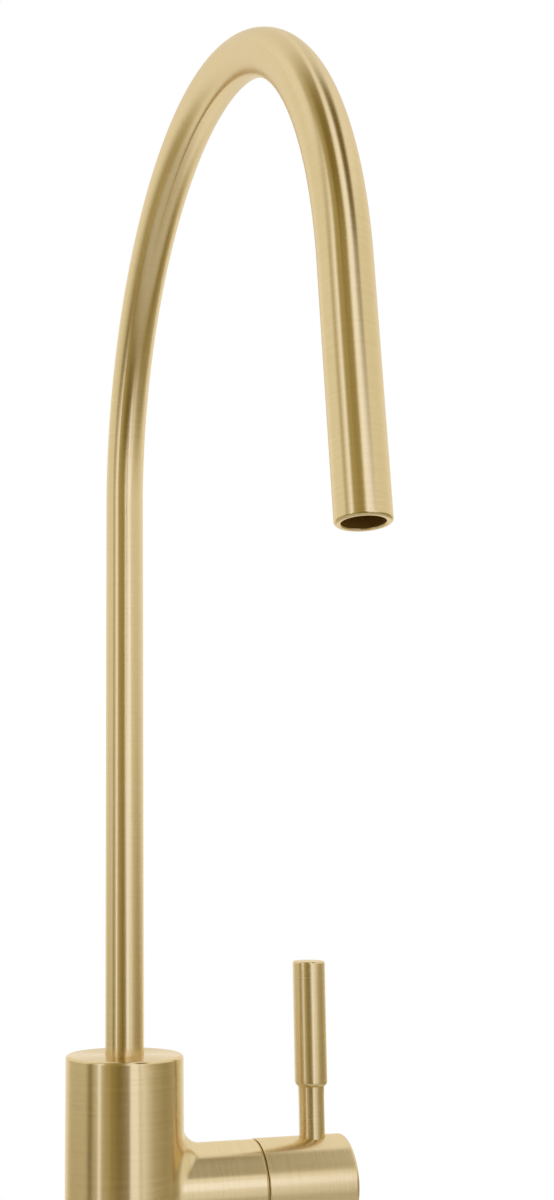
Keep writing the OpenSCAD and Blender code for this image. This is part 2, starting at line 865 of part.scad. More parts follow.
// Release collet: slotted fingers with a barb inside, and a flange to press
module release_collet() {
    barb_top_z = barb_z + barb_h;
    color(acetal_white)
        difference() {
            union() {
                translate([0, 0, collet_flange_z])
                    cylinder(d = collet_d, h = barb_top_z - collet_flange_z);
                translate([0, 0, barb_z])
                    cylinder(d = barb_d, h = barb_h);
                translate([0, 0, collet_flange_z])
                    rod(collet_flange_d, collet_flange_t, top_r = 0.3, foot_r = 0.5);
            }
            translate([0, 0, collet_flange_z - eps])
                cylinder(d = collet_bore_d, h = barb_top_z - collet_flange_z + 2 * eps);
            for (i = [0 : collet_slots - 1])
                rotate([0, 0, (i + 0.5) * 360 / collet_slots])
                    translate([0, -collet_slot_w / 2, connector_end_z])
                        cube([barb_d, collet_slot_w, barb_top_z - connector_end_z + eps]);
        }
}

body();
base_flange();
base_gasket();
shank();
shank_seal();
spout_tube();
spout_spigot();
spout_o_rings();
spout_screw();
cartridge_housing();
housing_o_ring();
seat_seal();
fixed_disc();
moving_disc();
thrust_washer();
cartridge_spindle();
spindle_o_rings();
spindle_circlip();
glide_ring();
handle_hub();
handle_screw();
lever_pin();
clamp_washer_rubber();
clamp_washer_steel();
lock_nut();
inlet_connector();
connector_seal();
supply_o_ring();
release_collet();
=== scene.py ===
import json
import math

import bmesh
import bpy
import numpy as np
from mathutils import Matrix, Vector


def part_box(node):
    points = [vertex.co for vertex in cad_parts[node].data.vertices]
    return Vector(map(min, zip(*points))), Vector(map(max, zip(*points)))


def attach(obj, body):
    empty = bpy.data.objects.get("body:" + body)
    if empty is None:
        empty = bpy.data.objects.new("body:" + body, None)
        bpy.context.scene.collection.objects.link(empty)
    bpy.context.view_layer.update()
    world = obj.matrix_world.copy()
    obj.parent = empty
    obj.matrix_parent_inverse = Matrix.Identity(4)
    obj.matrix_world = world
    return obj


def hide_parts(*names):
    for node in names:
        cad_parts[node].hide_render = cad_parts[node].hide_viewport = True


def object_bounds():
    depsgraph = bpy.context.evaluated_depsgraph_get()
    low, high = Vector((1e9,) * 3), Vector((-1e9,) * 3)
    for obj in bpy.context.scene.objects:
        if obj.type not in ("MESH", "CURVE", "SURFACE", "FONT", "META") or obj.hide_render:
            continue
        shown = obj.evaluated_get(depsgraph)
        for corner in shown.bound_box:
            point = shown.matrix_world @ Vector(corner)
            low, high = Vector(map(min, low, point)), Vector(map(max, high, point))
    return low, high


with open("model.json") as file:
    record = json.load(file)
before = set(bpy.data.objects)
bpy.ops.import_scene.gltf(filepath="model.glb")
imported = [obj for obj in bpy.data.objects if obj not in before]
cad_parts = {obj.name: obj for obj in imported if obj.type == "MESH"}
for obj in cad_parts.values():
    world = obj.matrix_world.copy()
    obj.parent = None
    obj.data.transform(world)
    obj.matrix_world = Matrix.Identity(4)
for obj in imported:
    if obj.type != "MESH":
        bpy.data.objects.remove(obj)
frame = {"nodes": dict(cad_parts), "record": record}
nodes = frame["nodes"]
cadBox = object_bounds()
mm = 0.001
print("frame loaded:", len(nodes), "nodes")

# Places that several pieces share, read from the frame
bodyLow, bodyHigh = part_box("body")
hubLow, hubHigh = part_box("handle_hub")
tubeLow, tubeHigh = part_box("spout_tube")
bodyR = -bodyLow.x
hubR = hubHigh.y
branchZ = (hubLow.z + hubHigh.z) / 2
onBranch = Matrix.Translation((0, 0, branchZ)) @ Matrix.Rotation(math.pi / 2, 4, "Y")


# Shape helpers: an outline is a list of (radius, height) pairs round a turned section

meshing = {
    "arcSteps": 6,
    "smallArcSteps": 4,
    "weld": 0.002 * mm,              # points nearer than this become one
    "sliver": 0.0005 * mm,           # edges shorter than this go
    "sharp": 32,                     # degrees from which an edge stays crisp
    "hexagonSharp": 20,
    "past": 1 * mm,                  # how far a cutter passes the surface
    "flatFace": 0.75,                # share of a normal along the axis from which a face is flat
    "leastR": 1 * mm,                # smallest radius for the brushing's coordinates
}


def arc(r, z, radius, start, end, steps=meshing["arcSteps"]):
    angles = np.radians(np.linspace(start, end, steps + 1))
    return [(r + radius * math.cos(a), z + radius * math.sin(a)) for a in angles]


def smallArc(r, z, radius, start, end):
    return arc(r, z, radius, start, end, meshing["smallArcSteps"])


def onceRound(steps):
    return np.linspace(0, 2 * math.pi, steps, endpoint=False)


def quads(rows, wide, closedRows, closedWide, start=0):
    # faces between rows of points; either way the grid may close on itself
    faces = []
    for k in range(rows if closedRows else rows - 1):
        low, high = start + k * wide, start + (k + 1) % rows * wide
        for i in range(wide if closedWide else wide - 1):
            j = (i + 1) % wide
            faces.append((low + i, low + j, high + j, high + i))
    return faces


def put(name, data):
    made = bpy.data.objects.new(name, data)
    bpy.context.scene.collection.objects.link(made)
    return made


def skin(name, grid, along, closed):
    # rows of points round a section, joined by quads, with the brushing's own coordinates
    rows, steps = grid.shape[:2]
    angle = onceRound(steps)
    radius = np.linalg.norm(grid - grid.mean(1, keepdims=True), axis=2)
    grain = np.stack([radius * np.cos(angle), radius * np.sin(angle),
                      np.broadcast_to(along[:rows, None], radius.shape)], 2)
    width = max(radius.max(), meshing["leastR"])
    uv = []
    for k in range(rows if closed else rows - 1):
        for i in range(steps):
            left, right = angle[i] * width, (angle[i] + angle[1]) * width
            uv += [along[k], left, along[k], right, along[k + 1], right, along[k + 1], left]
    mesh = bpy.data.meshes.new(name)
    mesh.from_pydata(grid.reshape(-1, 3).tolist(), [], quads(rows, steps, closed, True))
    mesh.attributes.new("grain", "FLOAT_VECTOR", "POINT").data.foreach_set("vector", grain.ravel())
    mesh.uv_layers.new(name="brush").data.foreach_set("uv", uv)
    return mesh


def turn(name, outline, steps, place=Matrix()):
    # a turned piece; radii and heights may be arrays round it, as on a hexagon
    rows = [[np.broadcast_to(np.asarray(value, float), steps) for value in pair] for pair in outline]
    angle = onceRound(steps)
    grid = np.array([np.stack([r * np.cos(angle), r * np.sin(angle), z], 1) for r, z in rows])
    solid = not grid[[0, -1], :, :2].any()  # starts and ends on the axis
    ring = grid if solid else np.concatenate([grid, grid[:1]])
    along = np.concatenate([[0], np.linalg.norm(np.diff(ring, axis=0), axis=2).mean(1).cumsum()])
    mesh = skin(name, grid, along, not solid)
    mesh.transform(place)
    return mesh


def weld(mesh, sharp=meshing["sharp"]):
    # joins doubled points, turns the faces outward and keeps real edges crisp
    work = bmesh.new()
    work.from_mesh(mesh)
    bmesh.ops.remove_doubles(work, verts=work.verts, dist=meshing["weld"])
    bmesh.ops.dissolve_degenerate(work, edges=work.edges, dist=meshing["sliver"])
    bmesh.ops.recalc_face_normals(work, faces=work.faces)
    work.to_mesh(mesh)
    work.free()
    mesh.shade_smooth()
    mesh.set_sharp_from_angle(angle=math.radians(sharp))
    return mesh


def cut(mesh, cutters):
    # takes turned cutters out of a closed mesh
    block = put("block", weld(mesh))
    tools = [put("tool", weld(cutter)) for cutter in cutters]
    for tool in tools:
        step = block.modifiers.new("cut", "BOOLEAN")
        step.operation = "DIFFERENCE"
        step.solver = "EXACT"
        step.object = tool
    bpy.context.view_layer.update()
    graph = bpy.context.evaluated_depsgraph_get()
    result = bpy.data.meshes.new_from_object(block.evaluated_get(graph))
    for spent in [block] + tools:
        bpy.data.objects.remove(spent)
    return weld(result)


def brushAgain(mesh, axisOf):
    # brushing coordinates after a cut: axisOf gives a face's own turning axis as a matrix
    for old in [a.name for a in mesh.attributes if a.name in ("grain", "brush")]:
        mesh.attributes.remove(mesh.attributes[old])
    points = np.empty(len(mesh.vertices) * 3)
    mesh.vertices.foreach_get("co", points)
    points = points.reshape(-1, 3)
    grain = np.empty((len(mesh.loops), 3))
    uv = np.empty((len(mesh.loops), 2))
    for face in mesh.polygons:
        back = np.array(axisOf(face.center).inverted())
        local = points[list(face.vertices)] @ back[:3, :3].T + back[:3, 3]
        flat = abs((back[:3, :3] @ np.array(face.normal))[2]) > meshing["flatFace"]
        radius = np.hypot(local[:, 0], local[:, 1])
        angle = np.arctan2(local[:, 1], local[:, 0])
        angle = angle[0] + (angle - angle[0] + math.pi) % (2 * math.pi) - math.pi
        along = -radius if flat else local[:, 2]
        loops = slice(face.loop_start, face.loop_start + face.loop_total)
        grain[loops] = np.stack([local[:, 0], local[:, 1], along], 1)
        uv[loops] = np.stack([along, angle * max(radius.max(), meshing["leastR"])], 1)
    mesh.attributes.new("grain", "FLOAT_VECTOR", "CORNER").data.foreach_set("vector", grain.ravel())
    mesh.uv_layers.new(name="brush").data.foreach_set("uv", uv.ravel())
    return mesh


def fit(mesh, material, body, node):
    # puts a finished piece in the scene in place of its CAD node
    piece = put(mesh.name, mesh)
    mesh.materials.clear()
    mesh.materials.append(material)
    weights = piece.modifiers.new("weights", "WEIGHTED_NORMAL")
    weights.keep_sharp = True
    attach(piece, body)
    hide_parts(node)
    print("made", piece.name, "with", len(mesh.polygons), "faces")


# Materials

def newMaterial(name):
    material = bpy.data.materials.new(name)
    material.use_nodes = True
    tree = material.node_tree
    return material, tree, tree.nodes["Principled BSDF"]


def addNode(tree, kind, links=None, **settings):
    # a shader node with its settings, and its inputs by name
    made = tree.nodes.new(kind)
    for key, value in settings.items():
        setattr(made, key, value)
    for key, value in (links or {}).items():
        if isinstance(value, bpy.types.NodeSocket):
            tree.links.new(value, made.inputs[key])
        else:
            made.inputs[key].default_value = value
    return made


def ramp(tree, source, stops):
    # a colour ramp from two (position, colour) pairs
    made = addNode(tree, "ShaderNodeValToRGB", {"Fac": source})
    for element, (position, colour) in zip(made.color_ramp.elements, stops):
        element.position = position
        element.color = (*colour, 1)
    return made.outputs["Color"]


def spread(tree, source, low, high):
    made = addNode(tree, "ShaderNodeMapRange", {"Value": source, "To Min": low, "To Max": high})
    return made.outputs["Result"]


brushing = {
    "light": (0.782, 0.636, 0.378),  # gold on the crests of the brushing
    "deep": (0.738, 0.59, 0.336),    # gold in the scratches
    "lightAt": 0.6,                  # height of the strokes where each colour is full
    "deepAt": 0.36,
    "lineWidth": 0.13 * mm,
    "lineLength": 7 * mm,
    "longWidth": 0.45 * mm,
    "longLength": 40 * mm,
    "lean": 2,                       # degrees that the strokes lean off the round
    "leanAcross": 0.7,               # the lean the other way, as a share of it
    "detail": 3.0,
    "raggedness": 0.62,
    "depth": 0.003 * mm,
    "relief": 0.8,
    "roughness": (0.185, 0.235),
    "handleRoughness": (0.24, 0.29),
    "anisotropy": 0.88,              # reflections blur along the axis
    "handleAnisotropy": 0.6,         # the handle is a little more matt all round
    "edgeTint": (0.93, 0.86, 0.73),  # colour towards the outline
}


def brushedGold(name, roughness, anisotropy):
    s = brushing
    material, tree, shader = newMaterial(name)
    grain = addNode(tree, "ShaderNodeAttribute", attribute_name="grain").outputs["Vector"]
    strokes = []
    for side, width, length in ((1, "lineWidth", "lineLength"), (-1, "longWidth", "longLength")):
        lean = math.radians(side * s["lean"])
        laid = addNode(tree, "ShaderNodeMapping", {
            "Vector": grain, "Rotation": (lean, lean * s["leanAcross"], 0),
            "Scale": (s[length], s[length], s[width])}, vector_type="TEXTURE")
        noise = addNode(tree, "ShaderNodeTexNoise", {
            "Vector": laid.outputs["Vector"], "Scale": 1.0,
            "Detail": s["detail"], "Roughness": s["raggedness"]})
        strokes.append(noise.outputs["Fac"])
    both = addNode(tree, "ShaderNodeMath", {0: strokes[0], 1: strokes[1]}, operation="ADD").outputs[0]
    half = addNode(tree, "ShaderNodeMath", {0: both, 1: 0.5}, operation="MULTIPLY").outputs[0]
    colour = ramp(tree, half, [(s["deepAt"], s["deep"]), (s["lightAt"], s["light"])])
    relief = addNode(tree, "ShaderNodeBump", {
        "Strength": s["relief"], "Distance": s["depth"], "Height": half})
    tangent = addNode(tree, "ShaderNodeTangent", direction_type="UV_MAP", uv_map="brush")
    tree.links.new(colour, shader.inputs["Base Color"])
    tree.links.new(spread(tree, strokes[1], *roughness), shader.inputs["Roughness"])
    tree.links.new(relief.outputs["Normal"], shader.inputs["Normal"])
    tree.links.new(tangent.outputs["Tangent"], shader.inputs["Tangent"])
    shader.inputs["Metallic"].default_value = 1.0
    shader.inputs["Anisotropic"].default_value = anisotropy
    shader.inputs["Specular Tint"].default_value = (*s["edgeTint"], 1)
    return material


surfacing = {
    "fineDetail": 4.0,
    "cloudDetail": 3.0,
    "lift": 0.25,                    # added to the product of the two noises
    "lightAt": 0.62,
    "deepAt": 0.38,
    "relief": 0.7,
}


def surfaced(name, look):
    # a moulded, pressed or turned finish: two noises drive its colour, gloss and relief
    s = surfacing
    material, tree, shader = newMaterial(name)
    place = addNode(tree, "ShaderNodeTexCoord").outputs["Object"]
    stretched = addNode(tree, "ShaderNodeMapping", {"Vector": place, "Scale": look["stretch"]})
    fine = addNode(tree, "ShaderNodeTexNoise", {
        "Vector": stretched.outputs["Vector"], "Scale": 1 / look["grain"],
        "Detail": s["fineDetail"]}).outputs["Fac"]
    cloud = addNode(tree, "ShaderNodeTexNoise", {
        "Vector": place, "Scale": 1 / look["cloud"], "Detail": s["cloudDetail"]}).outputs["Fac"]
    mixed = addNode(tree, "ShaderNodeMath", {0: fine, 1: cloud, 2: s["lift"]}, operation="MULTIPLY_ADD")
    colour = ramp(tree, mixed.outputs[0], [(s["deepAt"], look["deep"]), (s["lightAt"], look["light"])])
    relief = addNode(tree, "ShaderNodeBump", {
        "Strength": s["relief"], "Distance": look["depth"], "Height": fine})
    tree.links.new(colour, shader.inputs["Base Color"])
    tree.links.new(spread(tree, cloud, *look["roughness"]), shader.inputs["Roughness"])
    tree.links.new(relief.outputs["Normal"], shader.inputs["Normal"])
    shader.inputs["Metallic"].default_value = look["metallic"]
    return material


finishes = {
    "raw_brass": {"light": (0.66, 0.5, 0.22), "deep": (0.52, 0.37, 0.14), "metallic": 1.0,
                  "grain": 0.5 * mm, "stretch": (0.06, 0.06, 1), "cloud": 9 * mm,
                  "depth": 0.012 * mm, "roughness": (0.24, 0.42)},
    "tube_bore": {"light": (0.25, 0.13, 0.008), "deep": (0.17, 0.08, 0.004), "metallic": 0.0,
                  "grain": 0.4 * mm, "stretch": (1, 1, 0.1), "cloud": 6 * mm,
                  "depth": 0.01 * mm, "roughness": (0.6, 0.8)},
    "stainless": {"light": (0.64, 0.64, 0.63), "deep": (0.5, 0.5, 0.5), "metallic": 1.0,
                  "grain": 0.4 * mm, "stretch": (0.05, 1, 1), "cloud": 12 * mm,
                  "depth": 0.01 * mm, "roughness": (0.25, 0.4)},
    "black_rubber": {"light": (0.035, 0.035, 0.037), "deep": (0.016, 0.016, 0.017), "metallic": 0.0,
                     "grain": 0.25 * mm, "stretch": (1, 1, 1), "cloud": 6 * mm,
                     "depth": 0.03 * mm, "roughness": (0.6, 0.85)},
    "white_acetal": {"light": (0.82, 0.81, 0.77), "deep": (0.74, 0.73, 0.68), "metallic": 0.0,
                     "grain": 0.2 * mm, "stretch": (1, 1, 1), "cloud": 7 * mm,
                     "depth": 0.01 * mm, "roughness": (0.35, 0.5)},
    "grey_acetal": {"light": (0.3, 0.31, 0.33), "deep": (0.24, 0.25, 0.27), "metallic": 0.0,
                    "grain": 0.22 * mm, "stretch": (1, 1, 1), "cloud": 8 * mm,
                    "depth": 0.015 * mm, "roughness": (0.38, 0.55)},
    "disc_ceramic": {"light": (0.87, 0.85, 0.8), "deep": (0.8, 0.78, 0.72), "metallic": 0.0,
                     "grain": 0.3 * mm, "stretch": (1, 1, 1), "cloud": 6 * mm,
                     "depth": 0.003 * mm, "roughness": (0.12, 0.22)},
}
gold = brushedGold("brushedGold", brushing["roughness"], brushing["anisotropy"])
handleGold = brushedGold("handleGold", brushing["handleRoughness"], brushing["handleAnisotropy"])
finish = {name: surfaced(name, look) for name, look in finishes.items()}
print("materials made: two golds and", len(finish), "more")


# Spout tube: rise, arch and outlet leg, with its bore and a rounded rim

spout = {
    "wall": 1.25 * mm,
    "archR": 82.5 * mm,
    "archSweep": 174,                # degrees
    "outletLen": 49.5 * mm,
    "rimOuter": 0.55 * mm,
    "rimInner": 0.3 * mm,
    "steps": 72,
    "riseSteps": 24,
    "archSteps": 174,
    "outletSteps": 8,
    "boreSlack": 0.01 * mm,          # tells the bore's faces from the rim's
}


def spoutTube():
    s = spout
    tubeR = tubeHigh.y
    boreR = tubeR - s["wall"]
    foot, archZ = tubeLow.z, tubeHigh.z - s["archR"] - tubeR
    sweep = math.radians(s["archSweep"])
    rise, bend = archZ - foot, s["archR"] * sweep
    length = rise + bend + s["outletLen"]

    def station(at):
        # centre and outward direction of the centre line at a length from the foot
        turned = min(max((at - rise) / s["archR"], 0), sweep)
        out = Vector((0, math.cos(turned), math.sin(turned)))
        ahead = Vector((0, -math.sin(turned), math.cos(turned)))
        centre = Vector((0, -s["archR"], archZ)) + out * s["archR"]
        spare = min(at - rise, 0) + max(at - rise - bend, 0)
        return centre + ahead * spare, out

    def straight(start, end, pieces):
        return list(np.linspace(start, end, pieces + 1))

    stops = straight(0, rise, s["riseSteps"]) + straight(rise, rise + bend, s["archSteps"])[1:]
    stops += straight(rise + bend, length - s["rimOuter"], s["outletSteps"])[1:]
    rim = arc(tubeR - s["rimOuter"], length - s["rimOuter"], s["rimOuter"], 0, 90)
    rim += arc(boreR + s["rimInner"], length - s["rimInner"], s["rimInner"], 90, 180)
    rows = [(at, tubeR) for at in stops[:-1]]
    rows += [(z, r) for r, z in rim]
    rows += [(at, boreR) for at in stops[-2:2:-2]]  # the bore takes every second stop
    rows += [(0, boreR)]
    angle = onceRound(s["steps"])
    grid = np.empty((len(rows), s["steps"], 3))
    for k, (at, radius) in enumerate(rows):
        centre, out = station(at)
        grid[k] = (np.array(centre) + radius * np.outer(np.cos(angle), (1, 0, 0))
                   + radius * np.outer(np.sin(angle), np.array(out)))
    steps = [math.dist(rows[k], rows[k - 1]) for k in range(1, len(rows))]
    along = np.concatenate([[0], np.cumsum(steps + [s["wall"]])])
    mesh = weld(skin("spoutTube", grid, along, True))
    fit(mesh, gold, "spout", "spout_tube")
    grain = np.empty(len(mesh.vertices) * 3)
    mesh.attributes["grain"].data.foreach_get("vector", grain)
    inside = np.hypot(*grain.reshape(-1, 3)[:, :2].T) < boreR + s["boreSlack"]
    inBore = [int(inside[list(face.vertices)].all()) for face in mesh.polygons]
    mesh.materials.append(finish["tube_bore"])
    mesh.polygons.foreach_set("material_index", inBore)


spoutTube()


# Body: cylinder, branch and the rolling-ball blend between them as one smooth skin

bodySizes = {
    "edge": 0.8 * mm,                # rounding of the top edge
    "branch": 11.4 * mm,
    "branchEdge": 0.3 * mm,
    "blend": 5.3 * mm,
    "spoutBore": 5.17 * mm,
    "spoutBoreZ": 52 * mm,
    "boreChamfer": 0.08 * mm,
    "chamber": 8.5 * mm,
    "chamberX": 6 * mm,
    "threadMouth": 9 * mm,
    "threadX": 23.7 * mm,
    "shankSocket": 6.05 * mm,
    "shankSocketZ": 21 * mm,
    "screwHole": 2.05 * mm,
    "screwHoleStart": 1 * mm,        # from the axis, inside the spout's bore
    "branchStart": 0.4 * mm,         # brushing turns to the branch this far off the cylinder
    "upperSteps": 22,
    "sideSteps": 30,
    "backSteps": 56,
    "ringSteps": 14,
    "blendSteps": 14,
    "branchSteps": 6,
    "branchEdgeSteps": 5,
    "boreSteps": 96,
    "screwHoleSteps": 48,
}


def bodySkin():
    s = bodySizes
    branchR = s["branch"]
    rolled = bodyR + s["blend"]
    topZ, footZ = bodyHigh.z - s["edge"] - branchZ, bodyLow.z - branchZ
    half = bodyR * math.pi / 2
    topCorner, footCorner = math.atan2(half, topZ), math.atan2(half, footZ)
    side = np.concatenate([np.linspace(0, topCorner, s["upperSteps"] + 1)[:-1],
                           np.linspace(topCorner, footCorner, s["sideSteps"] + 1)[:-1],
                           np.linspace(footCorner, math.pi, s["upperSteps"] + 1)])
    angles = np.concatenate([side, 2 * math.pi - side[-2:0:-1]])  # once round the branch
    tiny = 1e-9                      # a ray this near an axis runs along it
    points, faces = [], []

    def patch(rows, wrap=True):
        # rows of points with quads between them
        faces.extend(quads(len(rows), len(rows[0]), False, wrap, len(points)))
        points.extend(tuple(p) for row in rows for p in row)

    def ballCentre(a):
        y, z = (branchR + s["blend"]) * math.sin(a), (branchR + s["blend"]) * math.cos(a)
        return Vector((math.sqrt(rolled ** 2 - y ** 2), y, z))

    def onBall(a, share):
        centre = ballCentre(a)
        atBranch = Vector((centre.x, branchR * math.sin(a), branchR * math.cos(a)))
        atBody = Vector((centre.x * bodyR / rolled, centre.y * bodyR / rolled, centre.z))
        first, last = (atBranch - centre).normalized(), (atBody - centre).normalized()
        return centre + s["blend"] * first.slerp(last, share)

    def onFrame(a):
        # where a ray at this angle leaves the front half of the unrolled body
        across, up = math.sin(a), math.cos(a)
        reach = []
        if abs(across) > tiny:
            reach.append(half / abs(across))
        if abs(up) > tiny:
            reach.append((topZ if up > 0 else footZ) / up)
        return min(reach) * across, min(reach) * up

    def wrapped(arcLength, z, radius=bodyR):
        turned = arcLength / bodyR
        return Vector((radius * math.cos(turned), radius * math.sin(turned), z))

    contact = [onBall(a, 1.0) for a in angles]
    hole = [(math.atan2(p.y, p.x) * bodyR, p.z) for p in contact]
    border = [onFrame(a) for a in angles]
    shares = np.linspace(0, 1, s["ringSteps"] + 1)
    patch([[wrapped(h[0] + (b[0] - h[0]) * t, h[1] + (b[1] - h[1]) * t)
            for h, b in zip(hole, border)] for t in shares])
    patch([[onBall(a, t) for a in angles] for t in np.linspace(0, 1, s["blendSteps"] + 1)])

    lastX = bodyHigh.x - s["branchEdge"]
    rootX = [ballCentre(a).x for a in angles]
    rows = [[(x + (lastX - x) * t, branchR * math.sin(a), branchR * math.cos(a))
             for a, x in zip(angles, rootX)] for t in np.linspace(0, 1, s["branchSteps"] + 1)]
    edge = arc(branchR - s["branchEdge"], lastX, s["branchEdge"], 0, 90, s["branchEdgeSteps"])[1:]
    edge += [(0, bodyHigh.x)]
    rows += [[(x, r * math.sin(a), r * math.cos(a)) for a in angles] for r, x in edge]
    patch(rows)

    heights = [onFrame(a)[1] for a in side if topCorner <= a <= footCorner]
    backArc = np.linspace(half, 3 * half, s["backSteps"] + 1)
    patch([[wrapped(u, z) for u in backArc] for z in heights], wrap=False)
    frontTop = [onFrame(a)[0] for a in side if a <= topCorner]
    frontFoot = [onFrame(a)[0] for a in side if a >= footCorner][::-1]
    topEdge = arc(bodyR - s["edge"], topZ, s["edge"], 0, 90) + [(0, topZ + s["edge"])]
    footEdge = [(bodyR, footZ), (0, footZ)]
    for front, edge in ((frontTop, topEdge), (frontFoot, footEdge)):
        around = [-u for u in front[:0:-1]] + front + list(backArc[1:-1])
        patch([[wrapped(u, z, r) for u in around] for r, z in edge])

    mesh = bpy.data.meshes.new("tapBody")
    mesh.from_pydata(points, [], faces)
    mesh.transform(Matrix.Translation((0, 0, branchZ)))
    return mesh


def tapBody():
    s = bodySizes
    screwLow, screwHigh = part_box("spout_screw")
    top, past = bodyHigh.z, meshing["past"]
    wide = s["spoutBore"] + s["boreChamfer"]
    spoutBore = turn("spoutBore", [
        (0, s["spoutBoreZ"]), (s["spoutBore"], s["spoutBoreZ"]), (s["spoutBore"], top - s["boreChamfer"]),
        (wide, top), (wide, top + past), (0, top + past)], s["boreSteps"])
    shankSocket = turn("shankSocket", [
        (0, bodyLow.z - past), (s["shankSocket"], bodyLow.z - past),
        (s["shankSocket"], s["shankSocketZ"]), (0, s["shankSocketZ"])], s["boreSteps"])
    chamber = turn("chamber", [
        (0, s["chamberX"]), (s["chamber"], s["chamberX"]), (s["chamber"], s["threadX"]),
        (s["threadMouth"], s["threadX"]), (s["threadMouth"], bodyHigh.x + past), (0, bodyHigh.x + past)],
        s["boreSteps"], onBranch)
    screwZ = (screwLow.z + screwHigh.z) / 2
    backwards = Matrix.Translation((0, 0, screwZ)) @ Matrix.Rotation(-math.pi / 2, 4, "X")
    screwHole = turn("screwHole", [
        (0, s["screwHoleStart"]), (s["screwHole"], s["screwHoleStart"]),
        (s["screwHole"], bodyR + past), (0, bodyR + past)], s["screwHoleSteps"], backwards)
    mesh = cut(bodySkin(), [spoutBore, shankSocket, chamber, screwHole])
    mesh.name = "tapBody"

    def axisOf(centre):
        return onBranch if math.hypot(centre.x, centre.y) > bodyR + s["branchStart"] else Matrix()

    fit(brushAgain(mesh, axisOf), gold, "base", "body")


tapBody()


# Handle: hub on the branch axis and the turned lever that screws into it

hubSizes = {
    "edge": 1.0 * mm,
    "rim": 0.3 * mm,
    "wall": 1.7 * mm,
    "cavityX": 41.8 * mm,
    "socket": 3.9 * mm,
    "socketX": 48.15 * mm,
    "leverSeat": 3.55 * mm,
    "leverSeatDepth": 1.2 * mm,
    "leverHole": 2.55 * mm,
    "leverHoleDepth": 7.3 * mm,
    "screwHole": 2.05 * mm,
    "screwHoleEnd": 1 * mm,          # below the branch axis, inside the socket
    "steps": 144,
    "lengthSteps": 11,
    "leverSeatSteps": 72,
    "screwHoleSteps": 48,
}
leverSizes = {
    "threadR": 2.5 * mm,
    "threadLen": 7 * mm,
    "stemR": 3.5 * mm,
    "stemLen": 14.3 * mm,            # with the part sunk in the hub
    "footRound": 1.3 * mm,
    "footStart": -70,                # degrees
    "topRound": 0.6 * mm,
    "steps": 96,
    "stemSteps": 5,
    "gripSteps": 11,
}


def handleHub():
    s = hubSizes
    leverLow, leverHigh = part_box("lever_pin")
    screwLow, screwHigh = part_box("handle_screw")
    leverX, screwX = (leverLow.x + leverHigh.x) / 2, (screwLow.x + screwHigh.x) / 2
    cavity = hubR - s["wall"]
    outline = [(0, s["socketX"]), (s["socket"], s["socketX"]), (s["socket"], s["cavityX"]),
               (cavity, s["cavityX"]), (cavity, hubLow.x)]
    outline += smallArc(hubR - s["rim"], hubLow.x + s["rim"], s["rim"], -90, 0)
    length = np.linspace(hubLow.x + s["rim"], hubHigh.x - s["edge"], s["lengthSteps"] + 1)
    outline += [(hubR, x) for x in length[1:-1]]
    outline += arc(hubR - s["edge"], hubHigh.x - s["edge"], s["edge"], 0, 90)
    outline += [(0, hubHigh.x)]
    seatZ = hubHigh.z - s["leverSeatDepth"]
    holeZ = seatZ - s["leverHoleDepth"]
    seatEnd, underStart = hubHigh.z + meshing["past"], hubLow.z - meshing["past"]
    underEnd = branchZ - s["screwHoleEnd"]
    seat = turn("seat", [
        (0, holeZ), (s["leverHole"], holeZ), (s["leverHole"], seatZ), (s["leverSeat"], seatZ),
        (s["leverSeat"], seatEnd), (0, seatEnd)], s["leverSeatSteps"], Matrix.Translation((leverX, 0, 0)))
    under = turn("under", [
        (0, underStart), (s["screwHole"], underStart), (s["screwHole"], underEnd), (0, underEnd)],
        s["screwHoleSteps"], Matrix.Translation((screwX, 0, 0)))
    mesh = cut(turn("hub", outline, s["steps"], onBranch), [seat, under])
    mesh.name = "handleHub"
    fit(brushAgain(mesh, lambda centre: onBranch), handleGold, "handle", "handle_hub")


def leverPin():
    s = leverSizes
    low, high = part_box("lever_pin")
    gripR = high.y
    stemZ = low.z + s["threadLen"]
    gripZ = stemZ + s["stemLen"]
    outline = [(0, low.z), (s["threadR"], low.z), (s["threadR"], stemZ), (s["stemR"], stemZ)]
    outline += [(s["stemR"], z) for z in np.linspace(stemZ, gripZ, s["stemSteps"] + 1)[1:-1]]
    footZ = gripZ - s["footRound"] * math.sin(math.radians(s["footStart"]))
    outline += arc(gripR - s["footRound"], footZ, s["footRound"], s["footStart"], 0)
    topZ = high.z - s["topRound"]
    outline += [(gripR, z) for z in np.linspace(footZ, topZ, s["gripSteps"] + 1)[1:-1]]
    outline += arc(gripR - s["topRound"], topZ, s["topRound"], 0, 90)
    outline += [(0, high.z)]
    place = Matrix.Translation(((low.x + high.x) / 2, 0, 0))
    mesh = weld(turn("leverPin", outline, s["steps"], place))
    fit(mesh, handleGold, "handle", "lever_pin")


handleHub()
leverPin()


# Base flange, recessed below for its gasket

flangeSizes = {
    "edge": 1.4 * mm,
    "foot": 0.25 * mm,
    "recess": 1.2 * mm,
    "recessR": 18.8 * mm,
    "hole": 6.3 * mm,
    "steps": 144,
    "edgeSteps": 10,
}


def baseFlange():
    s = flangeSizes
    low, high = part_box("base_flange")
    recessZ = low.z + s["recess"]
    outline = [(s["hole"], recessZ), (s["recessR"], recessZ), (s["recessR"], low.z)]
    outline += smallArc(high.x - s["foot"], low.z + s["foot"], s["foot"], -90, 0)
    outline += arc(high.x - s["edge"], high.z - s["edge"], s["edge"], 0, 90, s["edgeSteps"])
    outline += [(s["hole"], high.z)]
    fit(weld(turn("baseFlange", outline, s["steps"])), gold, "base", "base_flange")


baseFlange()


# Shank and fixing kit: rolled thread, flanged nut and the two clamp washers

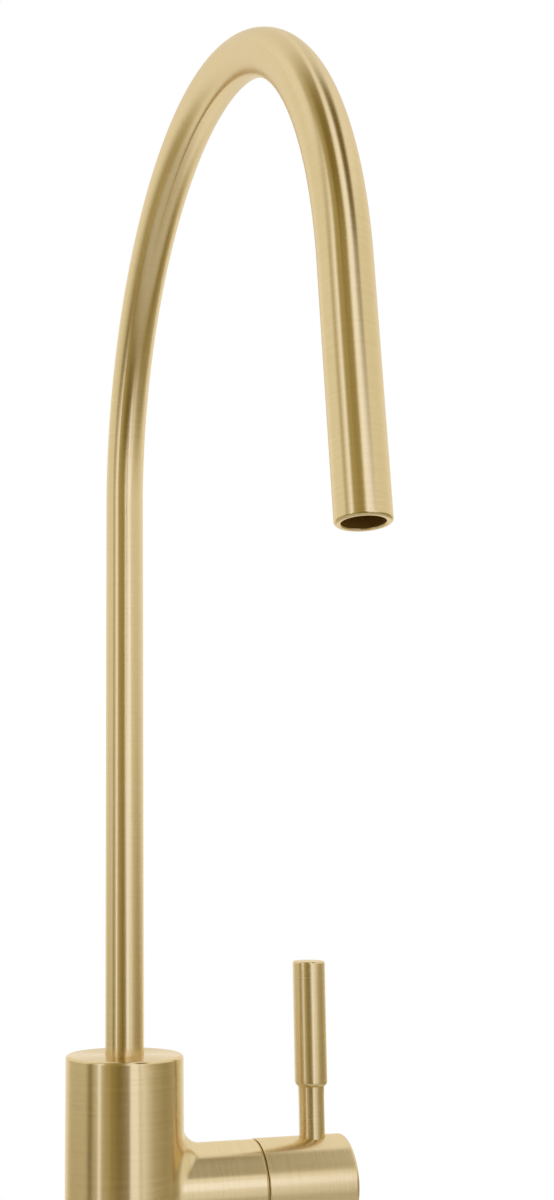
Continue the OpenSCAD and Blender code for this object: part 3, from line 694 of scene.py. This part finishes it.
shankSizes = {
    "pitch": 1.5 * mm,
    "threadDepth": 0.85 * mm,
    "crest": 0.18,                   # shares of the pitch
    "flank": 0.34,
    "threadTopZ": 0.5 * mm,
    "bore": 3.25 * mm,
    "play": 0.03 * mm,
    "steps": 56,
}
nutSizes = {
    "flats": 19 * mm,
    "flange": 1.6 * mm,
    "flangeRound": 0.35 * mm,
    "chamferStart": 9.35 * mm,       # radius where the corner chamfer begins
    "chamferSlope": 30,              # degrees
    "bore": 6.05 * mm,
    "boreChamfer": 0.5 * mm,
    "steps": 144,
}
washerSizes = {
    "steelRound": 0.25 * mm,
    "rubberRound": 0.5 * mm,
    "hole": 6.3 * mm,
    "steps": 96,
}


def hexagon(s):
    # radius round a hexagon, and how far its chamfered corners fall back
    angle = onceRound(s["steps"])
    flats = s["flats"] / 2 / np.cos((angle + math.pi / 6) % (math.pi / 3) - math.pi / 6)
    drop = np.maximum(flats - s["chamferStart"], 0) * math.tan(math.radians(s["chamferSlope"]))
    return flats, drop


def threadedShank():
    s = shankSizes
    low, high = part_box("shank")
    crestR = high.x - s["play"]
    rootR = crestR - s["threadDepth"]
    profile = [(0, crestR), (s["crest"], crestR),
               (s["crest"] + s["flank"], rootR), (1 - s["flank"], rootR)]
    turns = int((s["threadTopZ"] - low.z) / s["pitch"])
    angle = np.linspace(0, 2 * math.pi, s["steps"] + 1)

    def ring(r, z):
        return np.full(angle.shape, r), np.full(angle.shape, z)

    rows = [ring(s["bore"], low.z)]
    for k in range(-1, turns + 2):   # runs out past both ends
        for share, radius in profile:
            z = low.z + (k + share + angle / (2 * math.pi)) * s["pitch"]
            inside = (z > low.z) & (z < s["threadTopZ"])
            rows.append((np.where(inside, radius, rootR), np.clip(z, low.z, s["threadTopZ"])))
    rows += [ring(crestR, s["threadTopZ"]), ring(crestR, high.z), ring(s["bore"], high.z)]
    points = [(r * math.cos(a), r * math.sin(a), z)
              for radii, heights in rows for a, r, z in zip(angle, radii, heights)]
    mesh = bpy.data.meshes.new("threadedShank")
    mesh.from_pydata(points, [], quads(len(rows), len(angle), True, False))
    fit(weld(mesh), finish["raw_brass"], "base", "shank")


def lockNut():
    s = nutSizes
    low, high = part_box("lock_nut")
    flats, drop = hexagon(s)
    flangeZ = high.z - s["flange"]
    flangeR = max(high.x, high.y)
    outline = [(s["bore"], low.z + s["boreChamfer"]), (s["bore"] + s["boreChamfer"], low.z),
               (s["chamferStart"], low.z), (flats, low.z + drop), (flats, flangeZ)]
    outline += smallArc(flangeR - s["flangeRound"], flangeZ + s["flangeRound"], s["flangeRound"], -90, 0)
    outline += smallArc(flangeR - s["flangeRound"], high.z - s["flangeRound"], s["flangeRound"], 0, 90)
    outline += [(s["bore"] + s["boreChamfer"], high.z), (s["bore"], high.z - s["boreChamfer"])]
    mesh = weld(turn("lockNut", outline, s["steps"]), meshing["hexagonSharp"])
    fit(mesh, finish["raw_brass"], "nut", "lock_nut")


def clampWasher(name, cadNode, rounding, slot):
    s = washerSizes
    low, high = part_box(cadNode)
    inner, outer = s["hole"] + rounding, high.x - rounding
    under, over = low.z + rounding, high.z - rounding
    outline = smallArc(inner, under, rounding, 180, 270)
    outline += smallArc(outer, under, rounding, 270, 360)
    outline += smallArc(outer, over, rounding, 0, 90)
    outline += smallArc(inner, over, rounding, 90, 180)
    fit(weld(turn(name, outline, s["steps"])), finish[slot], "clamp", cadNode)


threadedShank()
lockNut()
clampWasher("steelWasher", "clamp_washer_steel", washerSizes["steelRound"], "stainless")
clampWasher("rubberWasher", "clamp_washer_rubber", washerSizes["rubberRound"], "black_rubber")


# Inlet connector: moulded hexagon and barrel with eased edges

connectorSizes = {
    "flats": 19 * mm,
    "hexLen": 12 * mm,
    "chamferStart": 9.3 * mm,
    "chamferSlope": 30,              # degrees
    "barrel": 7.75 * mm,
    "neckRound": 0.6 * mm,
    "footRound": 0.8 * mm,
    "threadBore": 6.05 * mm,
    "boreChamfer": 0.45 * mm,
    "sealZ": -56.5 * mm,
    "stopBore": 2.4 * mm,
    "socket": 3.2 * mm,
    "socketZ": -59 * mm,
    "ringRoom": 5.3 * mm,
    "ringRoomZ": (-66 * mm, -68.4 * mm),
    "barbRoom": 5.5 * mm,
    "barbRoomZ": -71.5 * mm,
    "mouth": 5.1 * mm,
    "steps": 144,
}


def inletConnector():
    s = connectorSizes
    low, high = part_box("inlet_connector")
    flats, drop = hexagon(s)
    hexZ = high.z - s["hexLen"]
    ringTop, ringFoot = s["ringRoomZ"]
    outline = [(s["chamferStart"], high.z), (flats, high.z - drop), (flats, hexZ + drop),
               (s["chamferStart"], hexZ)]
    outline += arc(s["barrel"] + s["neckRound"], hexZ - s["neckRound"], s["neckRound"], 90, 180)
    outline += arc(s["barrel"] - s["footRound"], low.z + s["footRound"], s["footRound"], 0, -90)
    outline += [(s["mouth"], low.z), (s["mouth"], s["barbRoomZ"]), (s["barbRoom"], s["barbRoomZ"]),
                (s["barbRoom"], ringFoot), (s["ringRoom"], ringFoot), (s["ringRoom"], ringTop),
                (s["socket"], ringTop), (s["socket"], s["socketZ"]), (s["stopBore"], s["socketZ"]),
                (s["stopBore"], s["sealZ"]), (s["threadBore"], s["sealZ"]),
                (s["threadBore"], high.z - s["boreChamfer"]),
                (s["threadBore"] + s["boreChamfer"], high.z)]
    mesh = weld(turn("inletConnector", outline, s["steps"]), meshing["hexagonSharp"])
    fit(mesh, finish["grey_acetal"], "base", "inlet_connector")


inletConnector()


# Pieces whose CAD shape is right keep it and take a finish

slotOf = {part["node"]: part["material_slot"] for part in frame["record"]["subparts"]}
kept = [name for name in sorted(nodes) if not nodes[name].hide_render]
for name in kept:
    nodes[name].data.materials.clear()
    nodes[name].data.materials.append(finish[slotOf[name]])
print("finished", len(kept), "pieces of the frame")


# Studio: plain white all round, a pale floor, and cloths and lit panels that the metal mirrors

studio = {
    "front": -103.8,                 # degrees round from +X to the camera's side
    "centre": (0, -0.05, 0.15),      # metres
    "distance": 2.5,
    "clothGap": 0.02,                # share by which each cloth hangs nearer than the one before
    "clothStep": 1.5,                # degrees
    "clothSpare": 1,                 # degrees past the soft edge
    "clothLimit": 89,                # degrees up or down
    "warmth": (0.9, 1.08, 1.88),     # a cloth turns warmer as it gets darker
    "floor": (0.74, 0.725, 0.685),
    "floorRoughness": 0.8,
    "floorDrop": 0.4 * mm,           # below the lowest piece
    "floorR": 0.6,                   # metres
    "floorStep": 4,                  # degrees
    "floorFade": (0.18, 0.46),       # metres from the axis
}
# Cloths in degrees, round to the right from the front and up, with soft edges; level is their light,
# and aim turns, raises and leans the whole cloth
cloths = {
    "tableEdge": {"round": (-148, 148), "up": (-86, -14), "soft": (12, 17), "level": 0.57},
    "leftSide": {"round": (-128, -74), "up": (-34, 45), "soft": (4, 4), "level": 0.9},
    "rightSide": {"round": (20, 112), "up": (-24, 44), "soft": (25, 4), "level": 0.86},
    "tableShade": {"round": (-134, 135), "up": (-80, -10), "soft": (15, 25), "level": 0.27},
    "rightShade": {"round": (63, 109), "up": (-15, -1), "soft": (25, 9), "level": 0.22},
    "leftPanel": {"round": (-54, -48), "up": (-24, 46), "soft": (3, 4), "level": 1.18},
    "leftDusk": {"round": (-125, -84), "up": (-48, -22), "soft": (15, 7), "level": 0.45},
    "leftFrameTop": {"aim": (0, 0, -9), "round": (-76, -65), "up": (-42, 50),
                     "soft": (9, 5), "level": 0.42},
    "leftFrame": {"aim": (0, 0, -9), "round": (-75, -66), "up": (-32, -14),
                  "soft": (8, 3), "level": 0.05},
    "opening": {"aim": (-16, 7, 3), "round": (-25, 10), "up": (-52, 40),
                "soft": (6, 6), "level": 0.41},
    "openingRoof": {"aim": (0, 0, -90), "round": (-95, -32), "up": (-29, 2),
                    "soft": (8, 3), "level": 0.42},
    "roofDeep": {"aim": (0, 0, -90), "round": (-84, -32), "up": (-18, 0),
                 "soft": (6, 4), "level": 0.2},
    "openingHigh": {"aim": (0, 0, -10), "round": (-25, -3), "up": (-47, 42),
                    "soft": (6, 4), "level": 0.36},
    "openingDeep": {"aim": (0, 0, -10), "round": (-25, -3), "up": (-47, -8),
                    "soft": (6, 4), "level": 0.22},
    "panelSpill": {"round": (33, 44), "up": (-30, 11), "soft": (20, 4), "level": 1.05},
    "lightPanel": {"aim": (0, 0, -7), "round": (4, 29), "up": (-21, 80),
                   "soft": (3, 4), "level": 1.15},
    "openingFoot": {"round": (-16, 10), "up": (-38, -3), "soft": (3, 3), "level": 0.15},
    "roofHoop": {"aim": (13.8, 0, -90), "round": (-92, -32), "up": (10, 26),
                 "soft": (5, 5), "level": 0.14, "warmth": (0.9, 1.08, 2.8)},
    "hubGlow": {"aim": (13.8, 0, -90), "round": (-20, 0), "up": (12, 25),
                "soft": (5, 4), "level": 1.38},
}


def whiteRoom():
    world = bpy.data.worlds.new("whiteRoom")
    bpy.context.scene.world = world
    world.use_nodes = True
    sky = world.node_tree.nodes["Background"]
    sky.inputs["Color"].default_value = (1, 1, 1, 1)
    sky.inputs["Strength"].default_value = 1.0


def softEdge(at, span, soft):
    # 1 inside the span, going smoothly to 0 across its edges
    inward = np.minimum(at - span[0], span[1] - at)
    share = np.clip(inward / (2 * soft) + 0.5, 0, 1)
    return share * share * (3 - 2 * share)


def hangCloth(name, look, distance):
    # a piece of a large sphere round the object, which the camera doesn't see
    s = studio
    turned, raised, lean = look.get("aim", (0, 0, 0))
    softRound, softUp = look["soft"]
    step, spare, limit = s["clothStep"], s["clothSpare"], s["clothLimit"]
    lon = np.arange(look["round"][0] - softRound, look["round"][1] + softRound + spare, step)
    low, high = max(look["up"][0] - softUp, -limit), min(look["up"][1] + softUp, limit)
    lat = np.arange(low, high + spare, step)
    veil = np.outer(softEdge(lat, look["up"], softUp), softEdge(lon, look["round"], softRound))
    u, v = np.meshgrid(np.radians(lon), np.radians(lat))
    points = distance * np.stack([np.cos(v) * np.cos(u), np.cos(v) * np.sin(u), np.sin(v)], 2)
    mesh = bpy.data.meshes.new(name)
    mesh.from_pydata(points.reshape(-1, 3).tolist(), [], quads(*veil.shape, False, False))
    mesh.attributes.new("veil", "FLOAT", "POINT").data.foreach_set("value", veil.ravel())
    heading = Matrix.Rotation(math.radians(s["front"] + turned), 4, "Z")
    rising = Matrix.Rotation(math.radians(-raised), 4, "Y")
    leaning = Matrix.Rotation(math.radians(lean), 4, "X")
    mesh.transform(Matrix.Translation(s["centre"]) @ heading @ rising @ leaning)
    material, tree, shader = newMaterial(name)
    tree.nodes.remove(shader)
    tone = [look["level"] ** power for power in look.get("warmth", s["warmth"])]
    glow = addNode(tree, "ShaderNodeEmission", {"Color": (*tone, 1), "Strength": 1.0})
    clear = addNode(tree, "ShaderNodeBsdfTransparent")
    share = addNode(tree, "ShaderNodeAttribute", attribute_name="veil").outputs["Fac"]
    mix = addNode(tree, "ShaderNodeMixShader", {
        0: share, 1: clear.outputs["BSDF"], 2: glow.outputs["Emission"]})
    tree.links.new(mix.outputs["Shader"], tree.nodes["Material Output"].inputs["Surface"])
    material.cycles.emission_sampling = "NONE"
    mesh.materials.append(material)
    cloth = put(name, mesh)
    cloth.visible_camera = False


def paleFloor():
    s = studio
    height = cadBox[0].z - s["floorDrop"]
    bearing = np.radians(np.arange(0, 360, s["floorStep"]))
    rim = s["floorR"] * np.stack([np.cos(bearing), np.sin(bearing)], 1)
    mesh = bpy.data.meshes.new("floor")
    mesh.from_pydata([(x, y, height) for x, y in rim.tolist()], [], [range(len(rim))])
    floor = put("floor", mesh)
    material, tree, shader = newMaterial("paleFloor")
    place = addNode(tree, "ShaderNodeTexCoord").outputs["Object"]
    flat = addNode(tree, "ShaderNodeMapping", {"Vector": place, "Scale": (1, 1, 0)})
    away = addNode(tree, "ShaderNodeVectorMath", {0: flat.outputs["Vector"]}, operation="LENGTH")
    low, high = s["floorFade"]
    gone = addNode(tree, "ShaderNodeMapRange", {
        "Value": away.outputs["Value"], "From Min": low, "From Max": high}, interpolation_type="SMOOTHSTEP")
    clear = addNode(tree, "ShaderNodeBsdfTransparent")
    blend = addNode(tree, "ShaderNodeMixShader", {
        0: gone.outputs["Result"], 1: shader.outputs["BSDF"], 2: clear.outputs["BSDF"]})
    tree.links.new(blend.outputs["Shader"], tree.nodes["Material Output"].inputs["Surface"])
    shader.inputs["Base Color"].default_value = (*s["floor"], 1)
    shader.inputs["Roughness"].default_value = s["floorRoughness"]
    mesh.materials.append(material)


whiteRoom()
paleFloor()
for k, (name, look) in enumerate(cloths.items()):
    hangCloth(name, look, studio["distance"] * (1 - studio["clothGap"] * k))
print("studio set")


# Camera, fitted to the photograph's outlines

shot = {
    "imageSize": (554, 1200),
    "distance": 415.66 * mm,         # from the body's axis, level
    "side": -13.94,                  # degrees round from straight in front
    "height": 53.06 * mm,            # above the body's top
    "turn": 1.75,                    # degrees to the right of the axis
    "tilt": 9.5,
    "roll": -0.29,
    "focal": 1506.5,                 # pixels
    "sensor": 36,                    # millimetres, along the picture's height
    "nearest": 10 * mm,
    "centre": (170, 600),            # pixel that the lens points at
}


def camera():
    s = shot
    wide, tall = s["imageSize"]
    data = bpy.data.cameras.new("camera")
    data.sensor_width = s["sensor"]
    data.lens = s["focal"] * data.sensor_width / tall
    data.shift_x = (wide / 2 - s["centre"][0]) / tall
    data.shift_y = (s["centre"][1] - tall / 2) / tall
    data.clip_start = s["nearest"]
    side = math.radians(s["side"])
    place = Matrix.Translation((s["distance"] * math.sin(side), -s["distance"] * math.cos(side),
                                bodyHigh.z + s["height"]))
    heading = Matrix.Rotation(side - math.radians(s["turn"]), 4, "Z")
    tilt = Matrix.Rotation(math.pi / 2 + math.radians(s["tilt"]), 4, "X")
    roll = Matrix.Rotation(math.radians(s["roll"]), 4, "Z")
    lens = put("camera", data)
    lens.matrix_world = place @ heading @ tilt @ roll
    bpy.context.scene.camera = lens


camera()
bpy.context.scene.view_settings.view_transform = "Standard"
print("camera set")
